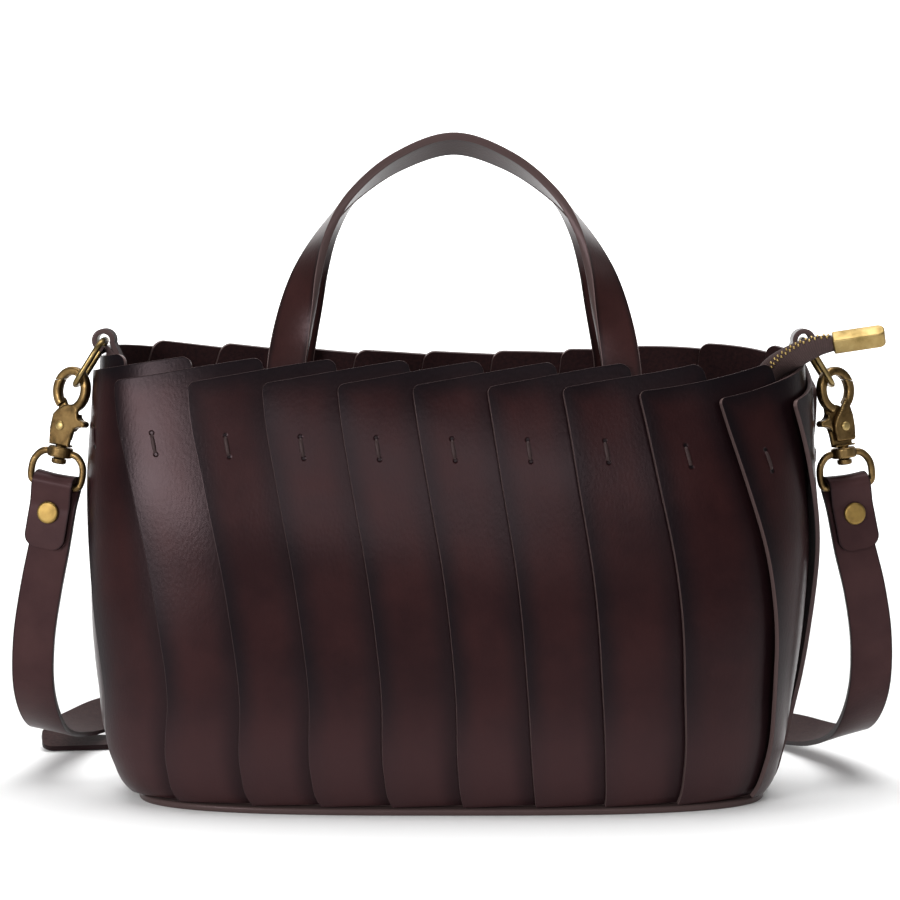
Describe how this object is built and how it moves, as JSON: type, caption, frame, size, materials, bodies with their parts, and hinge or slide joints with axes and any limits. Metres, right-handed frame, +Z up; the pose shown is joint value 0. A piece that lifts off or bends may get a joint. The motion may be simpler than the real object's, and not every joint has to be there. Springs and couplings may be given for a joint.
{
  "type": "leather handbag",
  "caption": "Small open-topped leather handbag with a wall of leaning, overlapping panels, twisted strap handles and a clip-on shoulder strap with brass trigger clasps.",
  "frame": {"origin": "centre of the underside of the base, on the surface that the bag stands on", "axes": "+X to the bag's right along its length, +Z up, front towards -Y"},
  "size_m": [0.3587, 0.2823, 0.2648],
  "materials": {
    "burnished_leather": "waxed and burnished, satin",
    "base_leather": "satin, plain edge",
    "strap_leather": "satin outside, fibrous flesh side inside",
    "antique_brass": "aged, polished on the high places",
    "zip_fabric": "ribbed woven tape"
  },
  "bodies": {
    "bag": {"panel_01": "burnished_leather", "panel_02": "burnished_leather", "panel_03": "burnished_leather", "panel_04": "burnished_leather", "panel_05": "burnished_leather", "panel_06": "burnished_leather", "panel_07": "burnished_leather", "panel_08": "burnished_leather", "panel_09": "burnished_leather", "panel_10": "burnished_leather", "panel_11": "burnished_leather", "panel_12": "burnished_leather", "panel_13": "burnished_leather", "panel_14": "burnished_leather", "panel_15": "burnished_leather", "panel_16": "burnished_leather", "panel_17": "burnished_leather", "panel_18": "burnished_leather", "panel_19": "burnished_leather", "panel_20": "burnished_leather", "panel_21": "burnished_leather", "panel_22": "burnished_leather", "base": "base_leather", "handle_front": "burnished_leather", "handle_back": "burnished_leather", "left_loop": "burnished_leather", "right_loop": "burnished_leather", "left_ring": "antique_brass", "right_ring": "antique_brass", "left_hook": "antique_brass", "right_hook": "antique_brass", "left_hook_rivet": "antique_brass", "right_hook_rivet": "antique_brass", "left_swivel_eye": "antique_brass", "right_swivel_eye": "antique_brass", "strap_left": "strap_leather", "strap_right": "strap_leather", "left_strap_rivet": "antique_brass", "right_strap_rivet": "antique_brass", "strap_keeper": "antique_brass", "zip_tape_front": "zip_fabric", "zip_tape_back": "zip_fabric", "zip_slider": "antique_brass", "zip_tail": "zip_fabric", "zip_chain": "antique_brass", "zip_cap": "antique_brass"},
    "left_lever": {"left_gate": "antique_brass"},
    "right_lever": {"right_gate": "antique_brass"}
  },
  "joints": [
    {"name": "left_gate_hinge", "type": "hinge", "parent": "bag", "child": "left_lever", "pos_m": [-0.1563, -0.0029, 0.1485], "axis": [0.4006, 0.9135, -0.0706], "range_deg": [0, 11], "stiffness_Nm_per_rad": 0.02, "springref_deg": -11.46},
    {"name": "right_gate_hinge", "type": "hinge", "parent": "bag", "child": "right_lever", "pos_m": [0.1554, -0.0029, 0.1483], "axis": [0.4037, -0.9135, 0.0496], "range_deg": [0, 11], "stiffness_Nm_per_rad": 0.02, "springref_deg": -11.46}
  ]
}
